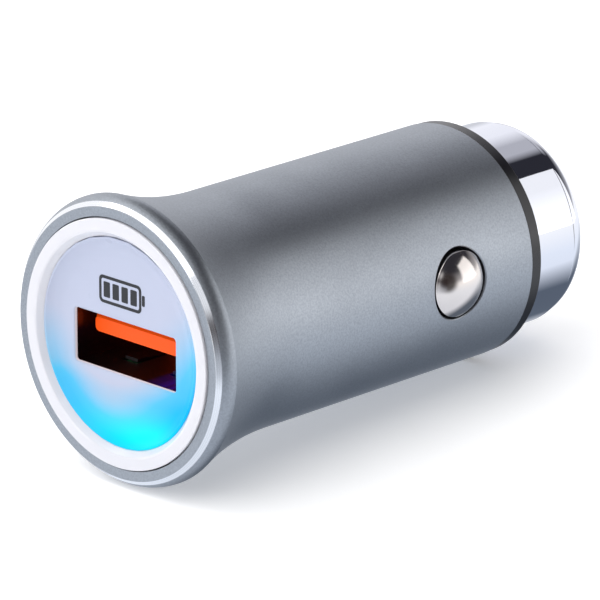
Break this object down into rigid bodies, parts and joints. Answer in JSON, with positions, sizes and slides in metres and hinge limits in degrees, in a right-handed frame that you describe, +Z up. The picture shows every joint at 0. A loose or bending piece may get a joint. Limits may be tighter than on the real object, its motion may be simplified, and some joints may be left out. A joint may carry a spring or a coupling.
{
  "type": "car usb charger plug",
  "caption": "Flanged metal plug for a 12 V car socket with a recessed lit panel round one USB port, sprung side contacts and a sprung centre contact.",
  "frame": {"origin": "centre of the white ring's front face, on the barrel's axis", "axes": "+Y along the barrel from the front face to the tip, +Z up with the port level, +X to the right of the port"},
  "size_m": [0.0254, 0.0545, 0.0254],
  "materials": {
    "barrel_metal": "satin",
    "white_plastic": "gloss",
    "lit_panel": "satin",
    "shell_steel": "satin",
    "orange_plastic": "satin",
    "contact_metal": "polished",
    "carrier_plastic": "matte",
    "board_laminate": "satin",
    "white_board": "satin",
    "lamp": "gloss",
    "chip_plastic": "matte",
    "ferrite": "matte",
    "can_metal": "satin",
    "fuse_ceramic": "matte",
    "plated_contact": "polished",
    "spring_steel": "satin",
    "black_plastic": "satin",
    "cap_chrome": "polished",
    "bush_plastic": "satin"
  },
  "bodies": {
    "housing": {"barrel": "barrel_metal", "bezel_ring": "white_plastic", "face_panel": "lit_panel", "usb_shell": "shell_steel", "usb_tongue": "orange_plastic", "usb_contacts": "contact_metal", "carrier_upper": "carrier_plastic", "carrier_lower": "carrier_plastic", "main_board": "board_laminate", "led_board": "white_board", "status_leds": "lamp", "converter_chip": "chip_plastic", "charge_chip": "chip_plastic", "power_inductor": "ferrite", "input_capacitor": "can_metal", "output_capacitor": "can_metal", "schottky_diode": "chip_plastic", "board_fuse": "fuse_ceramic", "chip_resistors": "chip_plastic", "side_spring_right": "spring_steel", "side_spring_left": "spring_steel", "ground_strap": "contact_metal", "insulator_ring": "black_plastic", "end_cap": "cap_chrome", "nose_insulator": "bush_plastic", "tip_spring": "spring_steel", "spring_cup": "contact_metal", "positive_lead": "contact_metal"},
    "right_contact": {"side_contact_right": "plated_contact"},
    "left_contact": {"side_contact_left": "plated_contact"},
    "tip": {"tip_contact": "plated_contact"}
  },
  "joints": [
    {"name": "right_contact_press", "type": "slide", "parent": "housing", "child": "right_contact", "axis": [-1, 0, 0], "range_m": [0, 0.00135], "stiffness_N_per_m": 200, "springref_m": -0.003, "deforming": ["side_spring_right"]},
    {"name": "left_contact_press", "type": "slide", "parent": "housing", "child": "left_contact", "axis": [1, 0, 0], "range_m": [0, 0.00135], "stiffness_N_per_m": 200, "springref_m": -0.003, "deforming": ["side_spring_left"]},
    {"name": "tip_press", "type": "slide", "parent": "housing", "child": "tip", "axis": [0, -1, 0], "range_m": [0, 0.003], "stiffness_N_per_m": 250, "springref_m": -0.004, "deforming": ["tip_spring"]}
  ]
}
